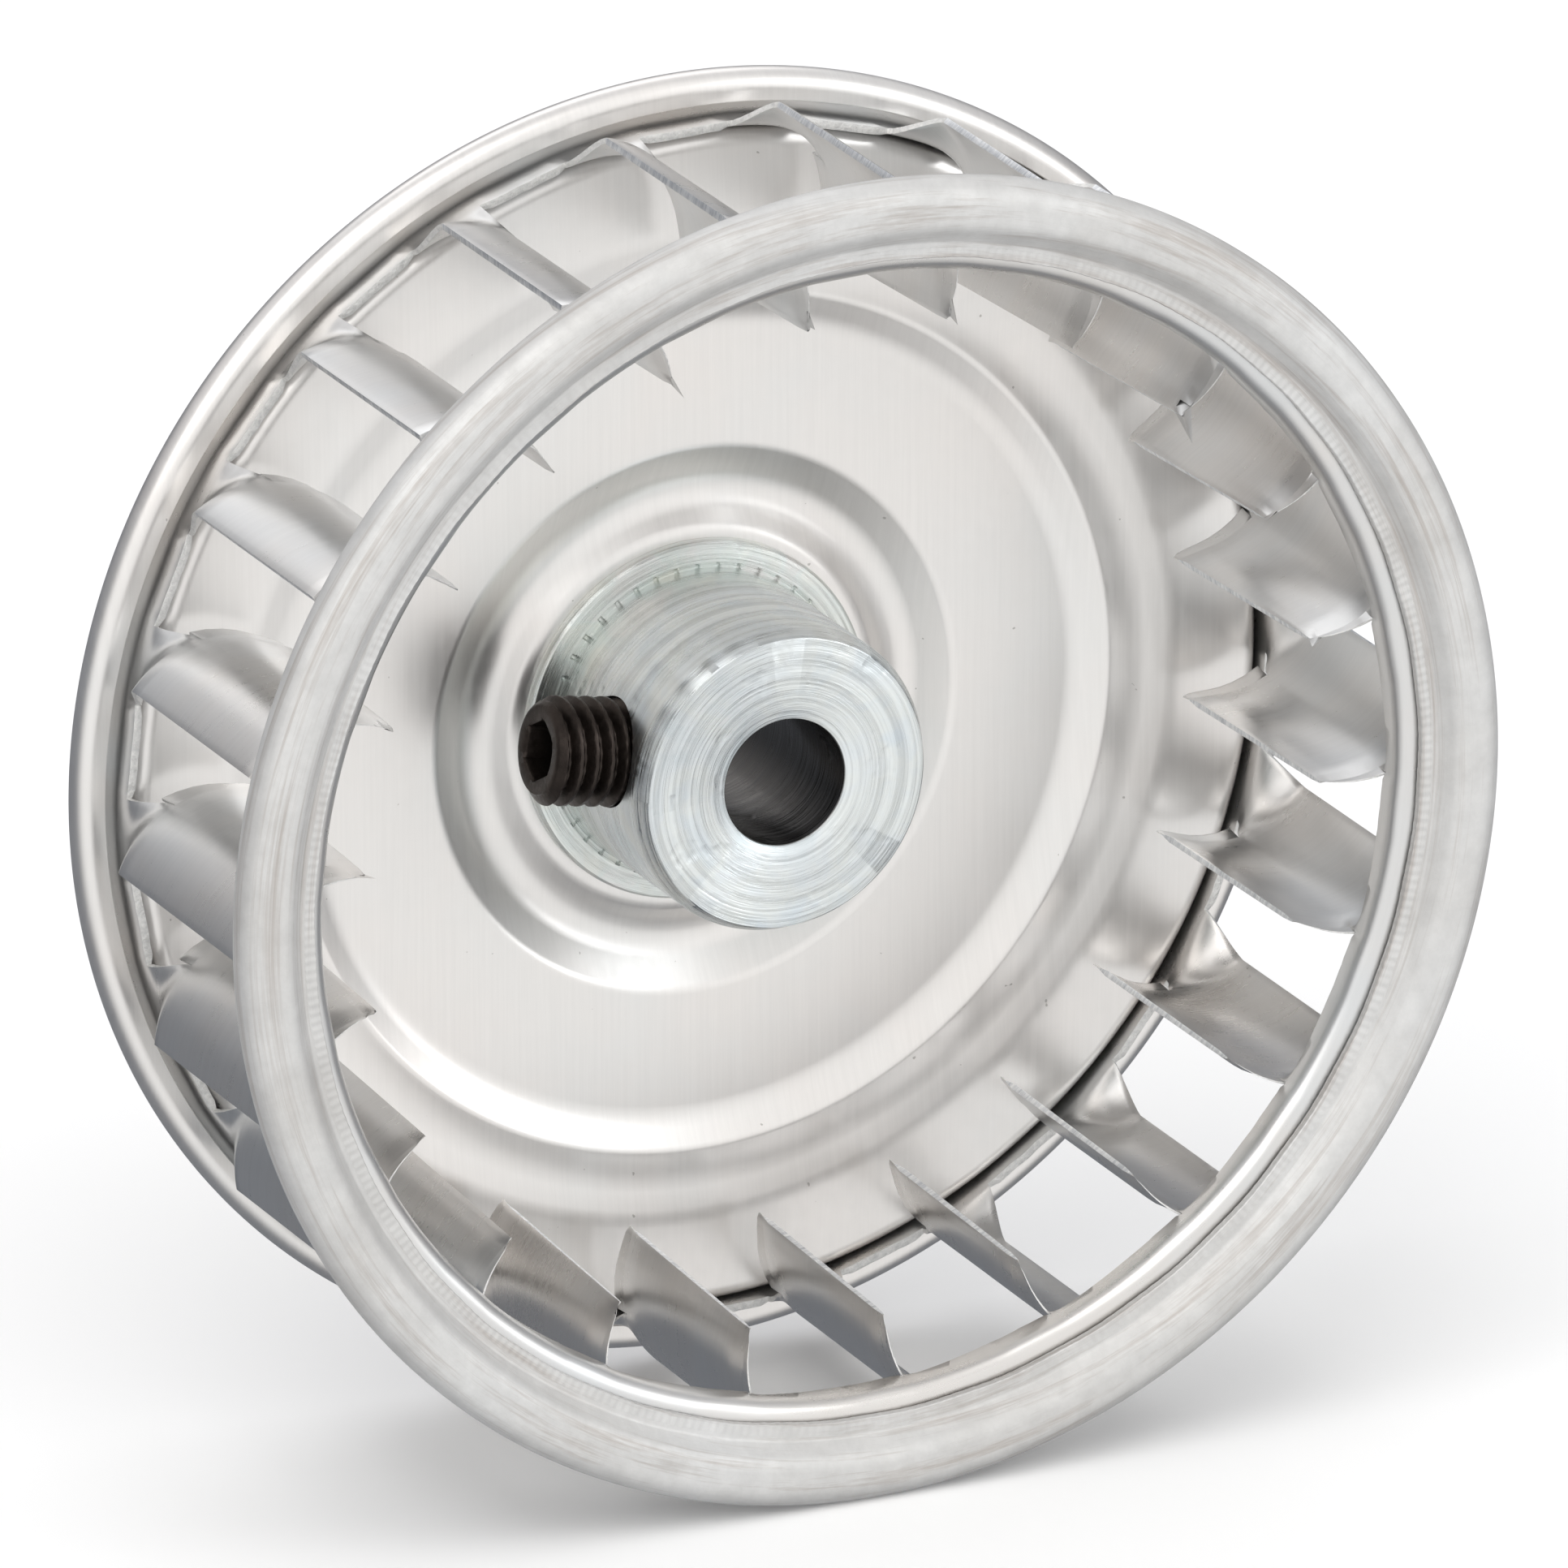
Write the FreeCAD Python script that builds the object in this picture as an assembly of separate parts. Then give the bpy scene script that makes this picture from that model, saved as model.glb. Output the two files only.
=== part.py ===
"""Blower motor wheel: a forward-curved fan wheel of pressed aluminium on a steel hub.

Frame: +Z up, millimetres. The wheel's axis is the Y axis. The inlet faces -Y, and the closed back faces +Y.
The origin is on the axis, in the plane of the back plate's flat front face.
"""

import FreeCAD
import Part

import math
import os

# ---- driving dimensions -------------------------------------------------------------------------------------

STRIP_THICK = 0.6
PLATE_THICK = 0.8
RING_THICK = 0.7

BLADE_COUNT = 22
BLADE_PHASE = 78.2  # angle of the first blade's inner edge, from +X towards +Z
BLADE_INNER_R = 37.7
BLADE_STRAIGHT = 2.0  # flat part at the inner edge, in the radial direction
BLADE_CURVE_R = 8.5
BLADE_BEND = 71.4  # degrees that the section turns forward between its flat part and its outer edge
BLADE_SPLIT = 25.0  # where the free inner half ends and the joined outer half starts, in degrees of bend

FRONT_BAND_R = 42.7  # middle of the sheet
REAR_BAND_R = 45.65
SLIT_FRONT_Y = -26.75
SLIT_REAR_Y = -1.4
BLADE_FRONT_Y = -25.3  # where the curved section ends and the slopes to the bands start
BLADE_REAR_Y = -5.3
BLADE_FRONT_FREE = (-25.4, -26.6)  # slanted ends of the free half, at the inner edge and at the split
BLADE_REAR_FREE = (-4.3, -3.3)
FRONT_ROOT = (1.0, 10.8)  # degrees of band that each blade stays joined to
REAR_ROOT = (1.9, 9.4)
ROOT_DEPTH = 0.5  # how far a blade's root runs into its band

PLATE_HOLE_R = 10.6
CUP_R = 44.75  # middle of the sheet in the back plate's cup wall

HUB_R = 11.55
HUB_FRONT_Y = -15.3
HUB_REAR_Y = 2.3
COLLAR_R = 13.65
COLLAR_FRONT_Y = -0.4
COLLAR_REAR_Y = 0.5
SWAGE_R = 12.3
BORE_R = 4.7625
BORE_SINK_R = 5.9
BORE_SINK_DEPTH = 0.3
HUB_CHAMFER = (0.6, 1.35)  # across the face and along the side

SCREW_R = 4.0  # M8 x 1.25
SCREW_LENGTH = 12.0
SCREW_TIP_R = 4.8  # distance of the point from the wheel's axis at rest
SCREW_Y = -8.4
SCREW_ANGLE = 170.2  # direction that the screw points out of the hub, from +X towards +Z
SCREW_CLEARANCE = 0.05
SOCKET_ACROSS_FLATS = 4.0
SOCKET_DEPTH = 5.0

ORIGIN = FreeCAD.Vector(0, 0, 0)
AXIS = FreeCAD.Vector(0, 1, 0)
PITCH = 360.0 / BLADE_COUNT


# ---- helpers ------------------------------------------------------------------------------------------------


def flat(r, y):
    """A point of a turned section: radius along +X, height along the axis."""
    return FreeCAD.Vector(r, y, 0)


def around(r, degrees, y):
    """A point at radius r and an angle from +X towards +Z."""
    a = math.radians(degrees)
    return FreeCAD.Vector(r * math.cos(a), y, r * math.sin(a))


def turned(wire):
    return Part.Face(wire).revolve(ORIGIN, AXIS, 360)


def turned_polygon(points):
    corners = [flat(r, y) for r, y in points]
    return turned(Part.makePolygon(corners + corners[:1]))


def sheet_section(route, thick):
    """A closed wire of constant thickness along route, a list of (r, y, bend radius) of the sheet's middle."""
    points = [flat(r, y) for r, y, _ in route]
    bends = [bend for _, _, bend in route]
    sides = {}
    for side in (1, -1):
        edges = []
        start = None
        for i, point in enumerate(points):
            if i == 0 or i == len(points) - 1:
                far = points[1] if i == 0 else points[-2]
                along = (far - point).normalize() if i == 0 else (point - far).normalize()
                normal = FreeCAD.Vector(-along.y, along.x, 0)
                end = point + normal * (side * thick / 2)
                if start is not None:
                    edges.append(Part.makeLine(start, end))
                start = end
                continue
            arrive = (point - points[i - 1]).normalize()
            leave = (points[i + 1] - point).normalize()
            turn = math.atan2(arrive.x * leave.y - arrive.y * leave.x, arrive.dot(leave))
            hand = 1 if turn > 0 else -1
            back = bends[i] * math.tan(abs(turn) / 2)
            normal = FreeCAD.Vector(-arrive.y, arrive.x, 0)
            centre = point - arrive * back + normal * (hand * bends[i])
            radius = bends[i] - hand * side * thick / 2
            first = centre - normal * (hand * radius)
            last_normal = FreeCAD.Vector(-leave.y, leave.x, 0)
            last = centre - last_normal * (hand * radius)
            middle = centre - (normal + last_normal).normalize() * (hand * radius)
            edges.append(Part.makeLine(start, first))
            edges.append(Part.Arc(first, middle, last).toShape())
            start = last
        sides[side] = edges
    ends = [
        Part.makeLine(sides[1][0].Vertexes[0].Point, sides[-1][0].Vertexes[0].Point),
        Part.makeLine(sides[1][-1].Vertexes[-1].Point, sides[-1][-1].Vertexes[-1].Point),
    ]
    every = sides[1] + sides[-1] + ends
    return Part.Wire(Part.__sortEdges__(every))


def write(shape, name):
    if not shape.isValid():
        raise ValueError(name + " is not a valid solid")
    shape.exportStep("parts/" + name + ".step")
    print(name, "solids", len(shape.Solids), "volume", round(shape.Volume, 1))


# ---- the aluminium pieces -----------------------------------------------------------------------------------


def front_ring():
    """The inlet ring: its edge is curled over the strip's front flange, with the raw edge on the front."""
    route = [
        (43.9, -29.45, 0),
        (45.3, -29.45, 0.7),
        (46.5, -31.0, 1.2),
        (49.65, -31.0, 1.5),
        (49.65, -28.1, 1.3),
        (44.3, -28.1, 0),
    ]
    return turned(sheet_section(route, RING_THICK))


def band_front():
    """The strip's front band, flared out between the two layers of the inlet ring."""
    route = [
        (46.6, -28.78, 0),
        (FRONT_BAND_R, -28.78, 1.1),
        (FRONT_BAND_R, SLIT_FRONT_Y, 0),
    ]
    return turned(sheet_section(route, STRIP_THICK))


def band_rear():
    """The strip's rear band, flared out inside the back plate's rolled edge."""
    route = [
        (REAR_BAND_R, SLIT_REAR_Y, 0),
        (REAR_BAND_R, 1.75, 1.3),
        (47.6, 1.75, 0),
    ]
    return turned(sheet_section(route, STRIP_THICK))


def blade_middle(bend):
    """A point of the blade's curved section, where its middle has bent by so many degrees, and its normal."""
    a = math.radians(bend)
    straight_end = BLADE_INNER_R + BLADE_STRAIGHT
    x = straight_end + BLADE_CURVE_R * math.sin(a)
    z = BLADE_CURVE_R * (1 - math.cos(a))
    normal = FreeCAD.Vector(math.sin(a), 0, -math.cos(a))
    return FreeCAD.Vector(x, 0, z), normal * (STRIP_THICK / 2)


def sheet_outline(spots):
    """A closed outline round spots, a list of middle points and half-thickness vectors."""
    outline = [middle + face for middle, face in spots]
    outline += [middle - face for middle, face in reversed(spots)]
    return Part.makePolygon(outline + outline[:1])


def blade_inner_half():
    """The free half of a blade: sheared off at a slant at both ends."""
    tip, face = blade_middle(0)
    tip.x = BLADE_INNER_R
    spots = [(tip, face)]
    spots += [blade_middle(BLADE_SPLIT * i / 3) for i in range(4)]
    wires = []
    for tip_y, split_y in (BLADE_FRONT_FREE, BLADE_REAR_FREE):
        slant = (split_y - tip_y) / (spots[-1][0].x - BLADE_INNER_R)
        placed = []
        for middle, face in spots:
            y = tip_y + slant * (middle.x - BLADE_INNER_R)
            placed.append((middle + FreeCAD.Vector(0, y, 0), face + FreeCAD.Vector(0, slant * face.x, 0)))
        wires.append(sheet_outline(placed))
    return Part.makeLoft(wires, True, True)


def blade_outer_half():
    """The joined half of a blade: it slopes down at both ends and runs into the two bands."""
    half = STRIP_THICK / 2
    steps = 6
    shares = [i / steps for i in range(steps + 1)]
    curve = [blade_middle(BLADE_SPLIT + share * (BLADE_BEND - BLADE_SPLIT)) for share in shares]
    wires = []
    for band_r, span, levels in (
        (FRONT_BAND_R, FRONT_ROOT, (SLIT_FRONT_Y - ROOT_DEPTH, SLIT_FRONT_Y)),
        (REAR_BAND_R, REAR_ROOT, (SLIT_REAR_Y, SLIT_REAR_Y + ROOT_DEPTH)),
    ):
        angles = [span[0] + share * (span[1] - span[0]) for share in shares]
        wires += [sheet_outline([(around(band_r, a, y), around(half, a, 0)) for a in angles]) for y in levels]
        if band_r == FRONT_BAND_R:
            for y in (BLADE_FRONT_Y, BLADE_REAR_Y):
                wires.append(sheet_outline([(middle + FreeCAD.Vector(0, y, 0), face) for middle, face in curve]))
    return Part.makeLoft(wires, True, True)


def blade():
    """One lanced blade with its inner edge at angle 0."""
    return blade_inner_half().fuse(blade_outer_half())


def blade_strip():
    """One strip: two bands and the blades lanced and twisted out of it between them."""
    one = blade()
    blades = []
    for i in range(BLADE_COUNT):
        copy = one.copy()
        copy.rotate(ORIGIN, AXIS, -(BLADE_PHASE + i * PITCH))
        blades.append(copy)
    return band_front().multiFuse([band_rear()] + blades)


def back_plate():
    """One drawn disc: hub seat, trough, flat, raised step, cup wall, and the edge rolled over the strip."""
    route = [
        (PLATE_HOLE_R, 0.9, 0),
        (14.3, 0.9, 1.2),
        (17.0, 2.9, 3.2),
        (20.9, 0.4, 1.0),
        (30.6, 0.4, 4.0),
        (32.8, -0.75, 0.6),
        (34.6, -0.5, 8.0),
        (37.9, -1.15, 5.0),
        (CUP_R, -0.7, 1.1),
        (CUP_R, 2.9, 0.9),
        (48.4, 2.9, 0.99),
        (48.4, 0.9, 0.99),
        (46.6, 0.9, 0),
    ]
    return turned(sheet_section(route, PLATE_THICK))


# ---- the steel pieces ---------------------------------------------------------------------------------------


def screw_direction():
    return around(1, SCREW_ANGLE, 0)


def screw_point(distance):
    """A point on the set screw's axis at a distance from the wheel's axis."""
    return screw_direction() * distance + FreeCAD.Vector(0, SCREW_Y, 0)


def hub():
    """Turned hub: collar in front of the plate, spigot through it, swaged lip behind it, tapped side hole."""
    rear_chamfer = 0.4
    hole_sink = 1.2
    groove = 0.25
    section = [
        (BORE_R, HUB_FRONT_Y + BORE_SINK_DEPTH),
        (BORE_SINK_R, HUB_FRONT_Y),
        (HUB_R - HUB_CHAMFER[0], HUB_FRONT_Y),
        (HUB_R, HUB_FRONT_Y + HUB_CHAMFER[1]),
        (HUB_R, COLLAR_FRONT_Y - 2 * groove),
        (HUB_R - groove, COLLAR_FRONT_Y - groove),
        (HUB_R - groove, COLLAR_FRONT_Y),
        (COLLAR_R - groove, COLLAR_FRONT_Y),
        (COLLAR_R, COLLAR_FRONT_Y + groove),
        (COLLAR_R, COLLAR_REAR_Y),
        (PLATE_HOLE_R, COLLAR_REAR_Y),
        (PLATE_HOLE_R, COLLAR_REAR_Y + PLATE_THICK),
        (SWAGE_R, COLLAR_REAR_Y + PLATE_THICK),
        (SWAGE_R - rear_chamfer, HUB_REAR_Y),
        (BORE_R + rear_chamfer, HUB_REAR_Y),
        (BORE_R, HUB_REAR_Y - rear_chamfer),
    ]
    body = turned_polygon(section)
    hole_r = SCREW_R + SCREW_CLEARANCE
    hole = Part.makeCylinder(hole_r, HUB_R + 2, screw_point(0), screw_direction())
    sink_foot = screw_point(HUB_R - 0.75 * hole_sink)
    sink = Part.makeCone(hole_r, hole_r + hole_sink, hole_sink, sink_foot, screw_direction())
    return body.cut(hole.fuse(sink))


def set_screw():
    """Hexagon-socket set screw with a cup point: its envelope at the thread's outer diameter."""
    point_r = 2.5
    cup_depth = 1.2
    crown = 0.6
    outside = [
        (0, cup_depth),
        (point_r - 0.3, 0),
        (point_r, 0),
        (SCREW_R, SCREW_R - point_r),
        (SCREW_R, SCREW_LENGTH - crown),
        (SCREW_R - crown, SCREW_LENGTH),
        (0, SCREW_LENGTH),
    ]
    body = turned_polygon(outside)
    corner_r = SOCKET_ACROSS_FLATS / math.sqrt(3)
    floor_y = SCREW_LENGTH - SOCKET_DEPTH
    corners = [around(corner_r, 60 * i, floor_y) for i in range(7)]
    socket = Part.Face(Part.makePolygon(corners)).extrude(FreeCAD.Vector(0, SOCKET_DEPTH + 1, 0))
    drill_point = Part.makeCone(0, corner_r * 0.86, 1.0, FreeCAD.Vector(0, floor_y - 1.0, 0), AXIS)
    lead_in = Part.makeCone(corner_r - 0.3, corner_r + 0.3, 0.6, FreeCAD.Vector(0, SCREW_LENGTH - 0.45, 0), AXIS)
    screw = body.cut(socket.fuse(drill_point)).cut(lead_in)
    turn = FreeCAD.Rotation(AXIS, screw_direction())
    screw.Placement = FreeCAD.Placement(screw_point(SCREW_TIP_R), turn)
    return screw


def main():
    os.makedirs("parts", exist_ok=True)
    write(front_ring(), "front_ring")
    write(blade_strip(), "blade_strip")
    write(back_plate(), "back_plate")
    write(hub(), "hub")
    write(set_screw(), "set_screw")


main()
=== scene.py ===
"""Looks of the blower motor wheel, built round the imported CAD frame.

Every piece is drawn in millimetres in the wheel's own frame and scaled to metres as its mesh is made:
the axis is Y, the inlet faces -Y, and angles go from +X towards +Z.
"""

import math
import random

import bmesh
import bpy
from mathutils import Matrix, Vector


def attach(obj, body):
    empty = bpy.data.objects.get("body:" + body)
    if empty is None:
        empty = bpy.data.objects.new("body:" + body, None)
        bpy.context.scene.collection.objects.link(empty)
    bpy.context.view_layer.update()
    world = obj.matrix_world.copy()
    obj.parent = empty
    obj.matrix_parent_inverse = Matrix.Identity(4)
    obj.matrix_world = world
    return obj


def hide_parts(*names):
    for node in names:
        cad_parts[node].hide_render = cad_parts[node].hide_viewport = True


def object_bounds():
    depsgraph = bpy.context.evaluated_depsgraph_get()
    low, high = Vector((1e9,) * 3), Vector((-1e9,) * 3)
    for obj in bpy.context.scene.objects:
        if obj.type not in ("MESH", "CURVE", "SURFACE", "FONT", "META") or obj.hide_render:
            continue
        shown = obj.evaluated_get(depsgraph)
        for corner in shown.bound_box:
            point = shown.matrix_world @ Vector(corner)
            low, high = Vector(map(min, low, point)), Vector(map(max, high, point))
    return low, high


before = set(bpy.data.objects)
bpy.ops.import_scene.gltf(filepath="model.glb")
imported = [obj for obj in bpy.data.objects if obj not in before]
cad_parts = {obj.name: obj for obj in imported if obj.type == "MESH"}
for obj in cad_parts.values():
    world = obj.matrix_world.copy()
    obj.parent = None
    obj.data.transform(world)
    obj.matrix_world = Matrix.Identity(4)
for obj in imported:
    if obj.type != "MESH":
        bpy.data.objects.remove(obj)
cad_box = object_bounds()

# ---- driving dimensions, within half a millimetre of the CAD's -----------------------------------

MM = 0.001
BLADE_COUNT = 22
PITCH = 360 / BLADE_COUNT
BLADE_PHASE = 78.2
STRIP_THICK = 0.6
PLATE_THICK = 0.8
RING_THICK = 0.7

INNER_R_FRONT = 38.1
INNER_R_REAR = 37.2
SECTION_START_R = 37.7
STRAIGHT = 2.0
CURVE_R = 8.5
BEND = 71.4
SPLIT_BEND = (20.7, 29.6)  # bend where the free half ends, at the front and at the rear
BODY_FRONT_Y = -25.3
BODY_REAR_Y = -5.3
TIP_FRONT_Y = -25.4
TIP_REAR_Y = -4.3
FREE_FRONT_Y = -26.6
FREE_REAR_Y = -3.3

FRONT_BAND_R = 42.7
REAR_BAND_R = 45.65
SLIT_FRONT_Y = -26.7
SLIT_REAR_Y = -1.4
FRONT_ROOT = (0.9, 10.8)
REAR_ROOT = (1.9, 9.4)
CUP_R = 44.75
RING_FLANGE_R = 44.75  # where the inlet ring's inner flange ends
PLATE_HOLE_R = 10.6

BORE_R = 4.7625
HUB_R = 11.55
HUB_FRONT_Y = -15.3
HUB_REAR_Y = 2.3
COLLAR_R = 13.65
COLLAR_NOTCHES = 44
SWAGE_R = 12.3

SCREW_R = 4.0
SCREW_LENGTH = 12.0
SCREW_PITCH = 1.25
SCREW_HOLE_R = 4.05
SCREW_TIP_R = 4.8
SCREW_Y = -8.4
SCREW_ANGLE = 170.2
SOCKET_FLATS = 4.0
SOCKET_DEPTH = 5.0

dice = random.Random(22)


# ---- helpers: shapes -----------------------------------------------------------------------------


def around(r, degrees, y):
    a = math.radians(degrees)
    return Vector((r * math.cos(a), y, r * math.sin(a)))


def mix(a, b, share):
    return a + (b - a) * share


def smooth(share):
    share = max(0.0, min(1.0, share))
    return share * share * (3 - 2 * share)


def bent_line(route, offset, step=9.0):
    """Points (r, y) beside a route of (r, y, bend radius), offset to its left, with its bends rounded."""
    corners = [Vector((r, y)) for r, y, _ in route]
    line = []
    for i, corner in enumerate(corners):
        if i in (0, len(corners) - 1):
            along = corners[1] - corner if i == 0 else corner - corners[-2]
            along.normalize()
            line.append(corner + Vector((-along.y, along.x)) * offset)
            continue
        arrive = (corner - corners[i - 1]).normalized()
        leave = (corners[i + 1] - corner).normalized()
        turn = math.atan2(arrive.x * leave.y - arrive.y * leave.x, arrive.dot(leave))
        hand = 1 if turn > 0 else -1
        bend = route[i][2]
        back = bend * math.tan(abs(turn) / 2)
        normal = Vector((-arrive.y, arrive.x))
        centre = corner - arrive * back + normal * (hand * bend)
        spoke = normal * (-hand * (bend - hand * offset))
        pieces = max(2, math.ceil(math.degrees(abs(turn)) / step))
        for k in range(pieces + 1):
            line.append(centre + Matrix.Rotation(turn * k / pieces, 2) @ spoke)
    return line


def sheet_outline(route, thick, ease=0.07):
    """The closed outline of a bent sheet, with its cut corners eased."""
    left = bent_line(route, thick / 2)
    right = bent_line(route, -thick / 2)
    outline = []
    for line, other in ((left, right), (right[::-1], left[::-1])):
        for end, inward in ((0, 1), (-1, -2)):
            along = (line[inward] - line[end]).normalized() * ease
            across = (other[end] - line[end]).normalized() * ease
            if end == 0:
                outline += [line[0] + across, line[0] + along]
                outline += line[1:-1]
            else:
                outline += [line[-1] + along, line[-1] + across]
    return outline


def make_piece(name, points, faces, materials, sharp=38.0):
    """A mesh object from points in millimetres, shaded smooth except at its sharp edges."""
    mesh = bpy.data.meshes.new(name)
    mesh.from_pydata([p * MM for p in points], [], faces)
    for material in materials:
        mesh.materials.append(material)
    soften(mesh, sharp)
    piece = bpy.data.objects.new(name, mesh)
    bpy.context.scene.collection.objects.link(piece)
    return piece


def soften(mesh, sharp):
    work = bmesh.new()
    work.from_mesh(mesh)
    bmesh.ops.recalc_face_normals(work, faces=work.faces)
    work.to_mesh(mesh)
    work.free()
    mesh.shade_smooth()
    mesh.set_sharp_from_angle(angle=math.radians(sharp))


def settle(piece, sharp=38.0):
    """Applies a piece's modifiers to its mesh."""
    shown = piece.evaluated_get(bpy.context.evaluated_depsgraph_get())
    mesh = bpy.data.meshes.new_from_object(shown)
    piece.modifiers.clear()
    piece.data = mesh
    mesh.name = piece.name
    mesh.shade_smooth()
    mesh.set_sharp_from_angle(angle=math.radians(sharp))


def turned(name, outline, segments, materials, warp=None):
    """A piece turned round the Y axis from a closed outline of (r, y)."""
    points = []
    for i in range(segments):
        angle = 360 * i / segments
        for r, y in outline:
            if warp:
                r, y = warp(r, y, angle)
            points.append(around(r, angle, y))
    n = len(outline)
    faces = []
    for i in range(segments):
        for k in range(n):
            a = i * n + k
            b = i * n + (k + 1) % n
            c = ((i + 1) % segments) * n + (k + 1) % n
            d = ((i + 1) % segments) * n + k
            faces.append((a, b, c, d))
    return make_piece(name, points, faces, materials)


def sector_angle(angle):
    """An angle measured from the inner edge of the blade before it, from 0 to the blade pitch."""
    return (angle - BLADE_PHASE) % PITCH


def chord_share(angle, root):
    """How much shorter than its arc the straight stretch of band between two blades is, as a share."""
    start = root[1]
    end = PITCH + root[0]
    local = sector_angle(angle)
    if local < root[0]:
        local += PITCH
    if not start < local < end:
        return 0.0
    middle = (start + end) / 2
    half = math.radians((end - start) / 2)
    return 1 - math.cos(half) / math.cos(math.radians(local - middle))


# ---- helpers: materials --------------------------------------------------------------------------


class Paint:
    """A node-based material and short ways to add nodes to it."""

    def __init__(self, name):
        self.material = bpy.data.materials.new(name)
        self.material.use_nodes = True
        self.nodes = self.material.node_tree.nodes
        self.links = self.material.node_tree.links
        self.shader = self.nodes["Principled BSDF"]
        self.object_coords = self.nodes.new("ShaderNodeTexCoord").outputs["Object"]

    def set(self, **values):
        for key, value in values.items():
            self.shader.inputs[key.replace("_", " ")].default_value = value

    def link(self, source, target):
        self.links.new(source, self.shader.inputs[target] if isinstance(target, str) else target)

    def feed(self, sockets, values):
        """Links each value that is a socket, and sets each other value, with an alpha added to a colour."""
        for socket, value in zip(sockets, values):
            if isinstance(value, bpy.types.NodeSocket):
                self.links.new(value, socket)
            else:
                socket.default_value = (*value, 1) if isinstance(value, tuple) else value

    def math(self, operation, a, b=0.0, c=0.0):
        node = self.nodes.new("ShaderNodeMath")
        node.operation = operation
        self.feed(node.inputs, (a, b, c))
        return node.outputs[0]

    def split(self):
        node = self.nodes.new("ShaderNodeSeparateXYZ")
        self.links.new(self.object_coords, node.inputs[0])
        return node.outputs

    def combine(self, x, y, z):
        node = self.nodes.new("ShaderNodeCombineXYZ")
        self.feed(node.inputs, (x, y, z))
        return node.outputs[0]

    def radius(self):
        """Distance from the wheel's axis, in metres."""
        x, _, z = self.split()
        return self.math("SQRT", self.math("ADD", self.math("MULTIPLY", x, x), self.math("MULTIPLY", z, z)))

    def angle(self):
        """Angle round the wheel's axis, in radians."""
        x, _, z = self.split()
        return self.math("ARCTAN2", x, z)

    def turning(self, around_scale):
        """Coordinates for turned and rolled surfaces: radius, height, and angle in small steps.

        The angle is the same on both sides of the axis, so that it has no seam, and x is mixed into the
        height so that the two sides still differ.
        """
        x, y, _ = self.split()
        angle = self.math("ABSOLUTE", self.angle())
        height = self.math("MULTIPLY_ADD", x, 0.05, y)
        return self.combine(self.radius(), height, self.math("MULTIPLY", angle, around_scale * MM))

    def noise(self, scale, detail=2.0, rough=0.5, coords=None, warp=0.0):
        """Noise with a scale per metre, or three scales, one for each axis."""
        node = self.nodes.new("ShaderNodeTexNoise")
        node.inputs["Scale"].default_value = 1.0
        node.inputs["Detail"].default_value = detail
        node.inputs["Roughness"].default_value = rough
        node.inputs["Distortion"].default_value = warp
        sizing = self.nodes.new("ShaderNodeMapping")
        sizing.inputs["Scale"].default_value = scale if isinstance(scale, tuple) else (scale,) * 3
        self.links.new(coords or self.object_coords, sizing.inputs["Vector"])
        self.links.new(sizing.outputs[0], node.inputs["Vector"])
        return node.outputs["Fac"]

    def ramp(self, value, *stops):
        """A ramp through stops of (position, colour or grey)."""
        node = self.nodes.new("ShaderNodeValToRGB")
        self.links.new(value, node.inputs[0])
        marks = node.color_ramp.elements
        while len(marks) < len(stops):
            marks.new(0.5)
        for mark, (position, tone) in zip(marks, stops):
            mark.position = position
            mark.color = (*tone, 1) if isinstance(tone, tuple) else (tone, tone, tone, 1)
        return node.outputs[0]

    def blend(self, share, a, b, how="MIX"):
        node = self.nodes.new("ShaderNodeMix")
        node.data_type = "RGBA"
        node.blend_type = how
        self.feed((node.inputs[0], node.inputs[6], node.inputs[7]), (share, a, b))
        return node.outputs[2]

    def bump(self, height, depth, before=None):
        """Relief of a depth in metres, on top of another bump if one is given."""
        node = self.nodes.new("ShaderNodeBump")
        node.inputs["Strength"].default_value = 1.0
        node.inputs["Distance"].default_value = depth
        self.links.new(height, node.inputs["Height"])
        if before is not None:
            self.links.new(before, node.inputs["Normal"])
        return node.outputs[0]


def aluminium(name, tone, warm, grain, grain_depth, rough, specks=0.0):
    """Rolled aluminium: fine straight grain, cloudy tone, small specks."""
    paint = Paint(name)
    streaks = paint.noise(grain, detail=4.0, rough=0.7)
    clouds = paint.noise(55.0, detail=3.0, rough=0.55, warp=0.4)
    mottle = paint.noise(900.0, detail=4.0, rough=0.65)
    colour = paint.ramp(clouds, (0.32, warm), (0.68, tone))
    shade = paint.ramp(streaks, (0.25, 0.93), (0.75, 1.0))
    colour = paint.blend(1.0, colour, shade, "MULTIPLY")
    if specks:
        dots = paint.noise(1500.0, detail=1.0, rough=0.4)
        dots = paint.ramp(dots, (0.80, 0.0), (0.82, specks))
        colour = paint.blend(dots, colour, (0.20, 0.18, 0.16))
    paint.link(colour, "Base Color")
    even = paint.math("MULTIPLY_ADD", clouds, 0.10, rough - 0.05)
    even = paint.math("MULTIPLY_ADD", mottle, 0.10, paint.math("SUBTRACT", even, 0.05))
    paint.link(paint.math("MULTIPLY_ADD", streaks, 0.12, paint.math("SUBTRACT", even, 0.06)), "Roughness")
    relief = paint.bump(streaks, grain_depth)
    relief = paint.bump(clouds, 0.00003, relief)
    paint.link(paint.bump(mottle, 0.0000025, relief), "Normal")
    paint.set(Metallic=0.93)
    return paint.material


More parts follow.
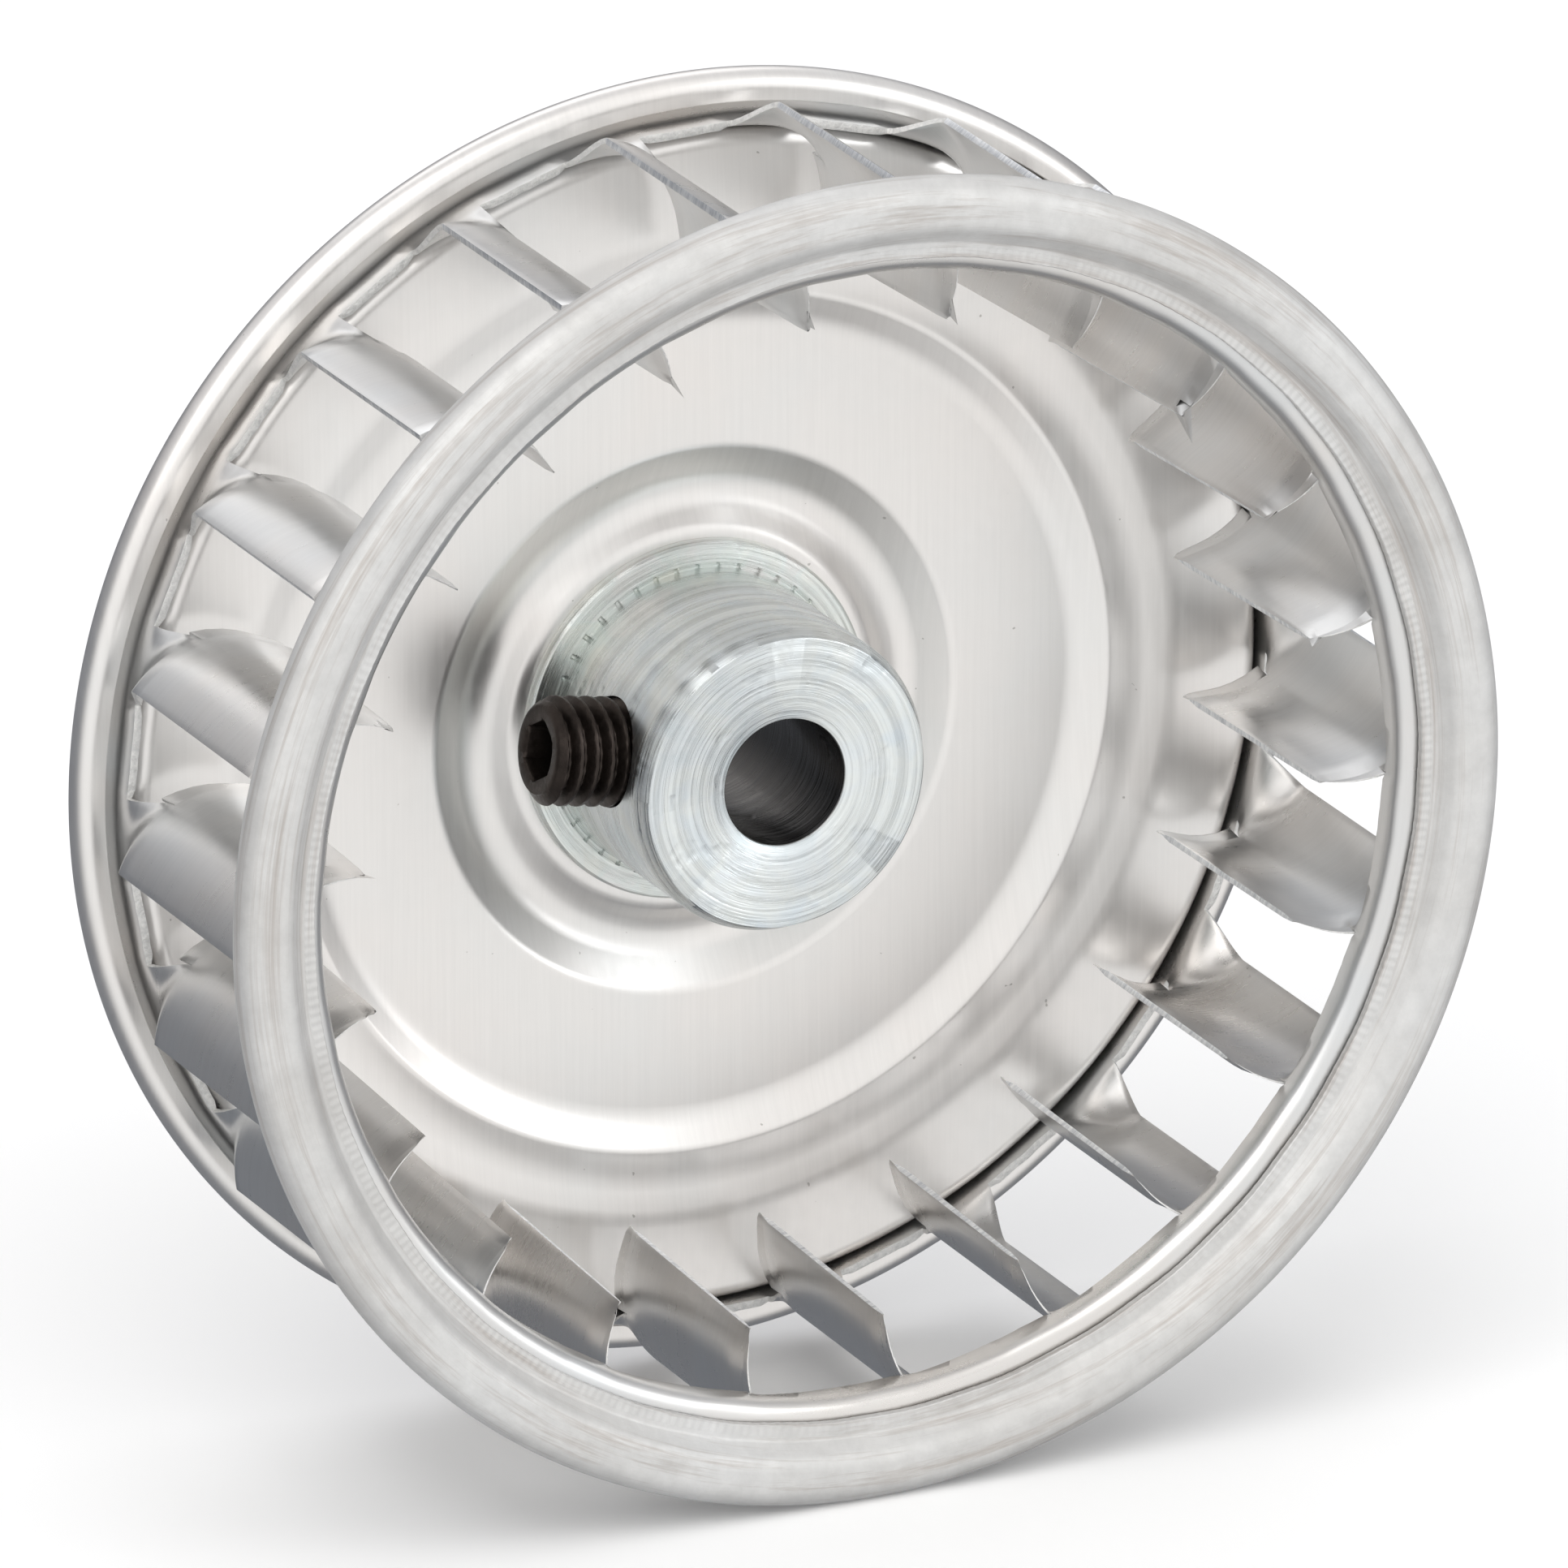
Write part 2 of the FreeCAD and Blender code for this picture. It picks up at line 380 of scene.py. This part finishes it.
def sheared_metal():
    """The cut edge of the strip: a burnished part and a torn part, striped along the cut."""
    paint = Paint("strip_cut_edge")
    stripes = paint.noise((500.0, 2600.0, 500.0), detail=3.0, rough=0.7)
    crumbs = paint.noise(2600.0, detail=4.0, rough=0.7)
    colour = paint.ramp(stripes, (0.34, (0.60, 0.62, 0.65)), (0.62, (0.90, 0.91, 0.92)))
    paint.link(colour, "Base Color")
    paint.link(paint.ramp(crumbs, (0.3, 0.34), (0.7, 0.52)), "Roughness")
    relief = paint.bump(stripes, 0.00006)
    paint.link(paint.bump(crumbs, 0.00003, relief), "Normal")
    paint.set(Metallic=1.0)
    return paint.material


def torn_metal():
    """The torn, crumbly edge left where the strip was lanced."""
    paint = Paint("strip_torn_edge")
    crumbs = paint.noise(2200.0, detail=5.0, rough=0.75)
    paint.link(paint.ramp(crumbs, (0.3, (0.66, 0.66, 0.65)), (0.7, (0.93, 0.92, 0.90))), "Base Color")
    paint.link(paint.bump(crumbs, 0.00016), "Normal")
    paint.set(Metallic=0.85, Roughness=0.5)
    return paint.material


def ring_metal():
    """Matte spun aluminium: rolling marks round the ring, faint scuffs, ticks on the inner flange."""
    paint = Paint("ring_aluminium")
    rolled = paint.turning(7.0)
    lines = paint.noise((5200.0, 5200.0, 900.0), detail=4.0, rough=0.7, coords=rolled)
    clouds = paint.noise(45.0, detail=4.0, rough=0.6, warp=0.5)
    frost = paint.noise(1500.0, detail=5.0, rough=0.75)
    scuffs = paint.noise((1100.0, 1100.0, 110.0), detail=5.0, rough=0.75, coords=rolled)
    cloth = paint.noise(380.0, detail=5.0, rough=0.7)
    colour = paint.ramp(clouds, (0.3, (0.62, 0.61, 0.595)), (0.7, (0.71, 0.71, 0.705)))
    colour = paint.blend(1.0, colour, paint.ramp(cloth, (0.3, 0.86), (0.7, 1.0)), "MULTIPLY")
    scuffed = paint.ramp(scuffs, (0.50, 0.0), (0.66, 0.65))
    colour = paint.blend(scuffed, colour, (0.40, 0.36, 0.33))
    paint.link(colour, "Base Color")
    paint.link(paint.ramp(frost, (0.25, 0.50), (0.75, 0.64)), "Roughness")
    relief = paint.bump(lines, 0.000012)
    relief = paint.bump(frost, 0.00001, relief)
    inner = paint.math("LESS_THAN", paint.radius(), RING_FLANGE_R * MM)
    ticks = paint.math("SINE", paint.math("MULTIPLY", paint.angle(), 420.0))
    relief = paint.bump(paint.math("MULTIPLY", ticks, inner), 0.000014, relief)
    paint.link(relief, "Normal")
    paint.set(Metallic=0.55)
    return paint.material


def zinc_plate():
    """Turned steel with bright zinc plate: tool rings, faint sheen, scratches, small dents, and painted shade
    that darkens the bore.
    """
    paint = Paint("zinc_plated_steel")
    spun = paint.turning(2.0)
    rings = paint.noise((2700.0, 900.0, 110.0), detail=4.0, rough=0.75, coords=spun)
    fine = paint.noise((9000.0, 9000.0, 1500.0), detail=3.0, rough=0.7, coords=spun)
    clouds = paint.noise(150.0, detail=4.0, rough=0.6, warp=0.6)
    tint = paint.ramp(
        clouds,
        (0.30, (0.66, 0.72, 0.745)),
        (0.46, (0.75, 0.79, 0.805)),
        (0.56, (0.77, 0.80, 0.79)),
        (0.72, (0.69, 0.75, 0.79)),
    )
    height = paint.split()[1]
    near_collar = paint.ramp(paint.math("MULTIPLY_ADD", height, 250.0, 1.6), (0.2, 0.0), (0.9, 0.7))
    film = paint.ramp(
        paint.noise(260.0, detail=2.0, warp=0.8),
        (0.38, (0.78, 0.785, 0.73)),
        (0.52, (0.74, 0.78, 0.75)),
        (0.66, (0.78, 0.765, 0.74)),
    )
    tint = paint.blend(near_collar, tint, film)
    tint = paint.blend(1.0, tint, paint.ramp(rings, (0.38, 0.72), (0.60, 1.0)), "MULTIPLY")
    marks = paint.ramp(paint.noise((1400.0, 240.0, 1100.0), detail=4.0, rough=0.8), (0.70, 0.0), (0.78, 0.6))
    tint = paint.blend(marks, tint, (0.42, 0.44, 0.46))
    # Painted shade: everything within about 4.8 mm of the axis, the bore's wall, is coloured near-black to
    # stand in for the shade inside the hole.
    centimetres = paint.math("MULTIPLY", paint.radius(), 100.0)
    bore = paint.ramp(centimetres, (0.478, 1.0), (0.486, 0.0))
    tint = paint.blend(bore, tint, (0.10, 0.095, 0.09))
    paint.link(tint, "Base Color")
    paint.link(paint.ramp(rings, (0.3, 0.20), (0.7, 0.36)), "Roughness")
    relief = paint.bump(rings, 0.00009)
    relief = paint.bump(fine, 0.000006, relief)
    dents = paint.ramp(paint.noise(420.0, detail=2.0), (0.62, 1.0), (0.74, 0.0))
    paint.link(paint.bump(dents, 0.00005, relief), "Normal")
    paint.set(Metallic=1.0)
    return paint.material


def black_oxide():
    """Black oxide on hardened steel: dark brown-black, slightly oily."""
    paint = Paint("black_oxide_steel")
    clouds = paint.noise(500.0, detail=4.0, rough=0.6)
    colour = paint.ramp(clouds, (0.3, (0.030, 0.024, 0.021)), (0.7, (0.060, 0.048, 0.042)))
    paint.link(colour, "Base Color")
    paint.link(paint.ramp(paint.noise(2500.0, detail=3.0), (0.3, 0.28), (0.7, 0.44)), "Roughness")
    paint.link(paint.bump(paint.noise(3500.0, detail=4.0, rough=0.7), 0.00002), "Normal")
    paint.set(Metallic=0.9)
    return paint.material


# ---- the pieces ----------------------------------------------------------------------------------


def front_ring(metal):
    route = [
        (43.9, -29.45, 0),
        (45.3, -29.45, 0.7),
        (46.5, -31.0, 1.2),
        (49.65, -31.0, 1.5),
        (49.65, -28.1, 1.3),
        (44.3, -28.1, 0),
    ]

    def warp(r, y, angle):
        ripple = 0.03 * math.sin(math.radians(5 * angle)) + 0.02 * math.sin(math.radians(13 * angle + 40))
        if r < 44.05 and y < -29.0:
            r += 0.02 * (math.sin(math.radians(angle * 264)) > 0) + 0.03 * math.sin(math.radians(angle * 37))
        return min(r, 49.97) + (ripple if r < 49.5 else 0), y

    piece = turned("inlet_ring", sheet_outline(route, RING_THICK), 1056, [metal], warp)
    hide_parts("front_ring")
    return piece


def back_plate(metal):
    route = [
        (PLATE_HOLE_R, 0.9, 0),
        (14.3, 0.9, 1.2),
        (17.0, 2.9, 3.2),
        (20.9, 0.4, 1.0),
        (30.6, 0.4, 4.0),
        (32.8, -0.75, 0.6),
        (34.6, -0.5, 8.0),
        (37.9, -1.15, 5.0),
        (CUP_R, -0.7, 1.1),
        (CUP_R, 2.9, 0.9),
        (48.4, 2.9, 0.99),
        (48.4, 0.9, 0.99),
        (46.6, 0.9, 0),
    ]

    def warp(r, y, angle):
        if 46.1 < r < 47.4 and 0.4 < y < 1.4:
            fade = smooth((47.4 - r) / 1.2)
            y -= 0.05 * fade * math.sin(math.radians(3 * angle + 50))
            r += 0.06 * fade * math.sin(math.radians(7 * angle))
        return r, y

    piece = turned("dished_back_plate", sheet_outline(route, PLATE_THICK), 704, [metal], warp)
    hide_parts("back_plate")
    return piece


def section_point(s):
    """Middle of a blade's section at a developed distance s from the start: (outwards, forwards)."""
    if s <= STRAIGHT:
        return Vector((SECTION_START_R + s, 0.0))
    bend = (s - STRAIGHT) / CURVE_R
    return Vector((SECTION_START_R + STRAIGHT + CURVE_R * math.sin(bend), CURVE_R * (1 - math.cos(bend))))


def band_lines():
    """The sections of the front and the rear band, from the slit's edge to the flange."""
    front = [(FRONT_BAND_R, SLIT_FRONT_Y, 0), (FRONT_BAND_R, -28.78, 1.1), (46.6, -28.78, 0)]
    rear = [(REAR_BAND_R, SLIT_REAR_Y, 0), (REAR_BAND_R, 1.75, 1.3), (47.6, 1.75, 0)]
    return bent_line(front, 0, 18), bent_line(rear, 0, 18)


class Sheet:
    """Points and faces of the strip's middle surface."""

    def __init__(self):
        self.points = []
        self.faces = []

    def grid(self, rows):
        first = len(self.points)
        width = len(rows[0])
        for row in rows:
            self.points += row
        for i in range(len(rows) - 1):
            for k in range(width - 1):
                a = first + i * width + k
                self.faces.append((a, a + 1, a + width + 1, a + width))


ROOT_COLUMNS = 12
FREE_COLUMNS = 7
GAP_COLUMNS = 9
RAMP_ROWS = 7
BODY_ROWS = 16


def blade_rows():
    """Heights of the rows across a blade: front slope, body, rear slope."""
    front = [mix(SLIT_FRONT_Y, BODY_FRONT_Y, i / RAMP_ROWS) for i in range(RAMP_ROWS)]
    body = [mix(BODY_FRONT_Y, BODY_REAR_Y, i / BODY_ROWS) for i in range(BODY_ROWS + 1)]
    rear = [mix(BODY_REAR_Y, SLIT_REAR_Y, (i + 1) / RAMP_ROWS) for i in range(RAMP_ROWS)]
    return front + body + rear


def slit_share(y):
    """How far a height lies along the slits, from 0 at the front to 1 at the rear."""
    return (y - SLIT_FRONT_Y) / (SLIT_REAR_Y - SLIT_FRONT_Y)


def split_length(y):
    """Developed distance from the section's start to the line where a blade's free half ends."""
    return STRAIGHT + CURVE_R * math.radians(mix(*SPLIT_BEND, slit_share(y)))


def free_end(y, s, split, quirk):
    """Height of a point of the free half: its ends are cut at a slant and rounded at the inner corner."""
    share = s / split
    from_edge = max(0.0, min(1.0, s / 1.1))
    corner = 1 - math.sqrt(1 - (1 - from_edge) ** 2)
    if y < BODY_FRONT_Y:
        end = mix(TIP_FRONT_Y, FREE_FRONT_Y, share) + 1.1 * corner + quirk
        return mix(BODY_FRONT_Y, end, (y - BODY_FRONT_Y) / (SLIT_FRONT_Y - BODY_FRONT_Y))
    if y > BODY_REAR_Y:
        end = mix(TIP_REAR_Y, FREE_REAR_Y, share) - 0.35 * corner
        return mix(BODY_REAR_Y, end, (y - BODY_REAR_Y) / (SLIT_REAR_Y - BODY_REAR_Y))
    return y


def blade_sheet(sheet, base):
    """Adds one blade at an angle to the strip's middle surface."""
    quirk = dice.uniform(-0.15, 0.15)
    lean = dice.uniform(-0.5, 0.5)
    whole = STRAIGHT + CURVE_R * math.radians(BEND)
    free_rows = []
    joined_rows = []
    for y in blade_rows():
        row = []
        split = split_length(y)
        start = mix(INNER_R_FRONT, INNER_R_REAR, slit_share(y)) - SECTION_START_R
        for k in range(FREE_COLUMNS + 1):
            share = (k / FREE_COLUMNS) ** 1.3
            s = mix(start, split, share)
            spot = section_point(s)
            sway = math.radians(lean) * (1 - share)
            height = free_end(y, s - start, split - start, quirk)
            row.append(Vector((spot.x, height, spot.y + spot.x * sway * 0.6)))
        free_rows.append(row)
        row = []
        for k in range(ROOT_COLUMNS + 1):
            share = k / ROOT_COLUMNS
            spot = section_point(mix(split, whole, share))
            if y < BODY_FRONT_Y:
                slope = (BODY_FRONT_Y - y) / (BODY_FRONT_Y - SLIT_FRONT_Y)
                root = around(FRONT_BAND_R, mix(*FRONT_ROOT, share), 0)
            elif y > BODY_REAR_Y:
                slope = (y - BODY_REAR_Y) / (SLIT_REAR_Y - BODY_REAR_Y)
                root = around(REAR_BAND_R, mix(*REAR_ROOT, share), 0)
            else:
                slope = 0
                root = Vector()
            drop = mix(slope, smooth(slope), 0.6)
            row.append(Vector((mix(spot.x, root.x, drop), y, mix(spot.y, root.z, drop))))
        joined_rows.append(row)
    turn = Matrix.Rotation(math.radians(-base), 3, "Y")
    for rows in (free_rows, joined_rows):
        sheet.grid([[turn @ p for p in row] for row in rows])


def band_sheet(sheet, line, root, base, edge_shift):
    """Adds one pitch of a band: the stretch that the blade is joined to, then the free stretch after it."""
    angles = [mix(*root, k / ROOT_COLUMNS) for k in range(ROOT_COLUMNS + 1)]
    angles += [mix(root[1], PITCH + root[0], (k + 1) / GAP_COLUMNS) for k in range(GAP_COLUMNS)]
    rows = []
    for i, (r, y) in enumerate(line):
        row = []
        for k, angle in enumerate(angles):
            past = k - ROOT_COLUMNS
            height = y
            if i == 0 and 0 < past < GAP_COLUMNS:
                height += edge_shift * (0.75 + 0.5 * dice.random())
            flatten = chord_share(base + angle, root) * (1 if i < len(line) - 2 else 0)
            row.append(around(r * (1 - flatten), base + angle, height))
        rows.append(row)
    sheet.grid(rows)


def blade_strip(metal, cut, torn):
    """The strip from its middle surface: thickened, its edges eased, its slit ends given the torn metal."""
    sheet = Sheet()
    front_line, rear_line = band_lines()
    for i in range(BLADE_COUNT):
        base = BLADE_PHASE + i * PITCH
        blade_sheet(sheet, base)
        band_sheet(sheet, front_line, FRONT_ROOT, base, 0.12)
        band_sheet(sheet, rear_line, REAR_ROOT, base, -0.3)
    piece = make_piece("lanced_blade_strip", sheet.points, sheet.faces, [metal, cut, torn])
    work = bmesh.new()
    work.from_mesh(piece.data)
    bmesh.ops.remove_doubles(work, verts=work.verts, dist=0.004 * MM)
    bmesh.ops.recalc_face_normals(work, faces=work.faces)
    work.to_mesh(piece.data)
    work.free()
    skin = piece.modifiers.new("thickness", "SOLIDIFY")
    skin.thickness = STRIP_THICK * MM
    skin.offset = 0
    skin.use_even_offset = True
    skin.thickness_clamp = 1.2
    skin.material_offset_rim = 1
    ease = piece.modifiers.new("ease", "BEVEL")
    ease.width = 0.05 * MM
    ease.segments = 2
    ease.limit_method = "ANGLE"
    ease.angle_limit = math.radians(55)
    settle(piece, 50)
    for face in piece.data.polygons:
        if face.material_index == 1 and not BODY_FRONT_Y < face.center.y / MM < BODY_REAR_Y:
            face.material_index = 2
    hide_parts("blade_strip")
    return piece


def hub(metal):
    """The turned hub, with its section going from the bore's mouth outwards, back, and in to the bore."""
    outline = [
        (BORE_R, HUB_FRONT_Y + 0.36),
        (BORE_R + 0.07, HUB_FRONT_Y + 0.28),
        (BORE_R + 1.0, HUB_FRONT_Y + 0.04),
        (BORE_R + 1.15, HUB_FRONT_Y),
        (HUB_R - 0.66, HUB_FRONT_Y),
        (HUB_R - 0.57, HUB_FRONT_Y + 0.07),
        (HUB_R - 0.05, HUB_FRONT_Y + 1.25),
        (HUB_R, HUB_FRONT_Y + 1.45),
        (HUB_R, -0.75),
        (HUB_R + 0.02, -0.5),
        (HUB_R + 0.1, -0.3),
        (HUB_R + 0.2, -0.3),
        (HUB_R + 0.34, -0.38),
        (HUB_R + 0.5, -0.4),
        (13.1, -0.4),
        (COLLAR_R - 0.22, -0.35),
        (COLLAR_R - 0.05, -0.2),
        (COLLAR_R, 0.0),
        (COLLAR_R, 0.45),
        (COLLAR_R - 0.05, 0.5),
        (PLATE_HOLE_R, 0.5),
        (PLATE_HOLE_R, 1.3),
        (SWAGE_R - 0.3, 1.3),
        (SWAGE_R - 0.05, 1.42),
        (SWAGE_R, 1.6),
        (SWAGE_R - 0.35, 2.15),
        (SWAGE_R - 0.55, HUB_REAR_Y),
        (BORE_R + 0.5, HUB_REAR_Y),
        (BORE_R + 0.4, HUB_REAR_Y - 0.03),
        (BORE_R, HUB_REAR_Y - 0.42),
    ]

    def warp(r, y, angle):
        if HUB_R + 0.05 < r < HUB_R + 0.4 and -0.5 < y < 0:
            wave = math.cos(math.radians(angle * COLLAR_NOTCHES))
            y += 0.2 * smooth((wave - 0.8) / 0.15)
        if abs(y - HUB_FRONT_Y) < 0.01 and r > 8:
            r += 0.03 * math.sin(math.radians(angle * 3 + 20)) + 0.02 * math.sin(math.radians(angle * 11))
        return r, y

    piece = turned("turned_hub", [Vector(p) for p in outline], 704, [metal], warp)
    hole = screw_cutter()
    cut = piece.modifiers.new("tapped_hole", "BOOLEAN")
    cut.object = hole
    cut.operation = "DIFFERENCE"
    cut.solver = "EXACT"
    settle(piece, 30)
    bpy.data.objects.remove(hole)
    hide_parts("hub")
    return piece


def along_screw(point):
    """Places a point given with the screw's axis along +Y and the wheel's axis at the origin."""
    out = around(1, SCREW_ANGLE, 0)
    side = Vector((0, 1, 0)).cross(out)
    return out * point.y + side * point.x + Vector((0, 1, 0)) * point.z + Vector((0, SCREW_Y, 0))


def screw_cutter():
    """The tapped hole and its countersunk mouth, as a solid."""
    mouth_r = SCREW_HOLE_R + 0.7
    top = 13.5
    outline = [(SCREW_HOLE_R, 0), (SCREW_HOLE_R, 10.95), (mouth_r, 11.65), (mouth_r, top)]
    segments = 96
    points = [along_screw(Vector((0, 0, 0))), along_screw(Vector((0, top, 0)))]
    for i in range(segments):
        for r, y in outline:
            points.append(along_screw(around(r, 360 * i / segments, y)))
    n = len(outline)
    faces = []
    for i in range(segments):
        j = (i + 1) % segments
        for k in range(n - 1):
            faces.append((2 + i * n + k, 2 + i * n + k + 1, 2 + j * n + k + 1, 2 + j * n + k))
        faces.append((0, 2 + i * n, 2 + j * n))
        faces.append((1, 2 + j * n + n - 1, 2 + i * n + n - 1))
    return make_piece("cutter", points, faces, [])


def hexagon(angle, flats):
    """Distance from the middle of a hexagon to its side, at an angle from one of its corners."""
    return flats / 2 / math.cos(math.radians((angle % 60) - 30))


def thread_radius(y, angle):
    """Radius of the thread's surface at a height along the screw, with both ends chamfered at 45 degrees."""
    depth = 0.61 * SCREW_PITCH
    phase = (y / SCREW_PITCH - angle / 360) % 1.0
    crest = 0.5 - abs(phase - 0.5)
    share = max(0.0, min(1.0, (crest - 0.07) / 0.33))
    r = SCREW_R - depth * (1 - share)
    point_chamfer = SCREW_R - 1.25 + y
    head_chamfer = SCREW_R - 0.75 + SCREW_LENGTH - y
    return min(r, point_chamfer, head_chamfer)


def set_screw(metal):
    """The screw with its axis along +Y and its point at 0: cup, thread, face, socket."""
    segments = 96
    rows = 192
    socket_floor = SCREW_LENGTH - SOCKET_DEPTH
    rings = []

    def ring(radius, y):
        rings.append([around(radius(360 * i / segments), 360 * i / segments, y) for i in range(segments)])

    ring(lambda a: 0.02, 1.1)
    ring(lambda a: 1.9, 0.25)
    ring(lambda a: 2.25, 0.03)
    ring(lambda a: 2.45, 0.0)
    for k in range(rows + 1):
        y = mix(0.12, SCREW_LENGTH - 0.12, k / rows)
        ring(lambda a, y=y: thread_radius(y, a), y)
    ring(lambda a: 3.2, SCREW_LENGTH - 0.01)
    ring(lambda a: 2.95, SCREW_LENGTH)
    ring(lambda a: max(2.35, hexagon(a, SOCKET_FLATS) + 0.12), SCREW_LENGTH)
    ring(lambda a: hexagon(a, SOCKET_FLATS) + 0.06, SCREW_LENGTH - 0.12)
    ring(lambda a: hexagon(a, SOCKET_FLATS), SCREW_LENGTH - 0.3)
    ring(lambda a: hexagon(a, SOCKET_FLATS), socket_floor)
    ring(lambda a: min(1.95, hexagon(a, SOCKET_FLATS) - 0.02), socket_floor - 0.02)
    ring(lambda a: 0.02, socket_floor - 1.1)
    points = [along_screw(p + Vector((0, SCREW_TIP_R, 0))) for row in rings for p in row]
    faces = []
    for k in range(len(rings) - 1):
        for i in range(segments):
            j = (i + 1) % segments
            faces.append((k * segments + i, k * segments + j, (k + 1) * segments + j, (k + 1) * segments + i))
    faces.append(tuple(range(segments)))
    faces.append(tuple((len(rings) - 1) * segments + i for i in reversed(range(segments))))
    piece = make_piece("hex_socket_set_screw", points, faces, [metal], 32)
    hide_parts("set_screw")
    return piece


# ---- stage, light and camera ---------------------------------------------------------------------


def softbox(name, place, aim, width, height, power, colour=(1, 1, 1)):
    light = bpy.data.lights.new(name, "AREA")
    light.shape = "RECTANGLE"
    light.size = width
    light.size_y = height
    light.energy = power
    light.color = colour
    lamp = bpy.data.objects.new(name, light)
    lamp.location = place
    lamp.rotation_mode = "QUATERNION"
    lamp.rotation_quaternion = (Vector(aim) - Vector(place)).to_track_quat("-Z", "Y")
    bpy.context.scene.collection.objects.link(lamp)


def floor():
    work = bmesh.new()
    bmesh.ops.create_circle(work, cap_ends=True, radius=6.0, segments=96)
    mesh = bpy.data.meshes.new("floor")
    work.to_mesh(mesh)
    work.free()
    piece = bpy.data.objects.new("floor", mesh)
    piece.location = (0, 0, cad_box[0].z)
    bpy.context.scene.collection.objects.link(piece)
    paint = Paint("floor_white")
    paint.link(paint.ramp(paint.noise(3.0, detail=2.0), (0.3, 0.97), (0.7, 0.98)), "Base Color")
    paint.set(Roughness=0.9)
    mesh.materials.append(paint.material)
    piece.visible_glossy = False


def wall(tree, towards, *stops):
    """Light from the world by how far its direction points towards the given one, as a colour output."""
    direction = tree.nodes.new("ShaderNodeTexCoord").outputs["Generated"]
    facing = tree.nodes.new("ShaderNodeVectorMath")
    facing.operation = "DOT_PRODUCT"
    tree.links.new(direction, facing.inputs[0])
    facing.inputs[1].default_value = Vector(towards).normalized()
    scaled = tree.nodes.new("ShaderNodeMath")
    scaled.operation = "MULTIPLY_ADD"
    scaled.inputs[1].default_value = 0.5
    scaled.inputs[2].default_value = 0.5
    tree.links.new(facing.outputs["Value"], scaled.inputs[0])
    fade = tree.nodes.new("ShaderNodeValToRGB")
    fade.color_ramp.interpolation = "EASE"
    tree.links.new(scaled.outputs[0], fade.inputs[0])
    marks = fade.color_ramp.elements
    while len(marks) < len(stops):
        marks.new(0.5)
    for mark, (position, tone) in zip(marks, stops):
        mark.position = position
        mark.color = (*tone, 1)
    return fade.outputs[0]


def room():
    """The world: light from the front and from above, dim elsewhere, and a plain pale backdrop."""
    world = bpy.data.worlds.new("studio")
    world.use_nodes = True
    tree = world.node_tree
    front_stops = (0.46, (0.15, 0.155, 0.17)), (0.62, (0.55, 0.55, 0.55)), (0.76, (0.97, 0.97, 0.965))
    above_stops = (0.50, (0.17, 0.18, 0.20)), (0.62, (0.30, 0.305, 0.32)), (0.80, (0.72, 0.72, 0.73))
    both = tree.nodes.new("ShaderNodeMix")
    both.data_type = "RGBA"
    both.blend_type = "LIGHTEN"
    both.inputs[0].default_value = 1.0
    tree.links.new(wall(tree, (-0.12, -0.9, 0.25), *front_stops), both.inputs[6])
    tree.links.new(wall(tree, (0, 0, 1), *above_stops), both.inputs[7])
    plain = tree.nodes.new("ShaderNodeMix")
    plain.data_type = "RGBA"
    tree.links.new(tree.nodes.new("ShaderNodeLightPath").outputs["Is Camera Ray"], plain.inputs[0])
    tree.links.new(both.outputs[2], plain.inputs[6])
    plain.inputs[7].default_value = (0.95, 0.95, 0.95, 1)
    sky = tree.nodes["Background"]
    sky.inputs["Strength"].default_value = 1.12
    tree.links.new(plain.outputs[2], sky.inputs["Color"])
    bpy.context.scene.world = world


def studio():
    floor()
    room()
    softbox("key", (-0.55, -0.45, 0.85), (0, 0, 0), 1.0, 1.0, 4.2, (1.0, 0.985, 0.97))
    softbox("fill", (0.75, -0.7, 0.35), (0, 0, 0), 0.3, 0.8, 1.6, (0.97, 0.985, 1.0))
    softbox("back", (0.2, 0.7, 0.8), (0, 0, 0), 0.9, 0.5, 1.2)
    bpy.context.scene.view_settings.view_transform = "Standard"


def camera():
    """A long lens from the front, upper left, of a wheel that stands on its rims."""
    data = bpy.data.cameras.new("camera")
    data.lens = 616.4
    data.sensor_width = 36.0
    data.clip_start = 0.1
    data.clip_end = 50.0
    eye = bpy.data.objects.new("camera", data)
    direction = Vector((0.40452, 0.84935, -0.33906)).normalized()
    aim = Vector((0.0017, -0.0113, -0.0016))
    eye.location = aim - direction * 1.938
    eye.rotation_mode = "QUATERNION"
    eye.rotation_quaternion = direction.to_track_quat("-Z", "Y")
    bpy.context.scene.collection.objects.link(eye)
    bpy.context.scene.camera = eye


# ---- build ---------------------------------------------------------------------------------------

plate_metal = aluminium(
    "plate_aluminium",
    tone=(0.81, 0.80, 0.785),
    warm=(0.82, 0.79, 0.765),
    grain=(2600.0, 300.0, 60.0),
    grain_depth=0.0000035,
    rough=0.34,
    specks=0.5,
)
strip_metal = aluminium(
    "strip_aluminium",
    tone=(0.70, 0.71, 0.715),
    warm=(0.72, 0.695, 0.67),
    grain=(60.0, 2600.0, 60.0),
    grain_depth=0.000006,
    rough=0.30,
)

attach(front_ring(ring_metal()), "wheel")
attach(back_plate(plate_metal), "wheel")
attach(blade_strip(strip_metal, sheared_metal(), torn_metal()), "wheel")
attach(hub(zinc_plate()), "wheel")
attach(set_screw(black_oxide()), "set_screw")

studio()
camera()
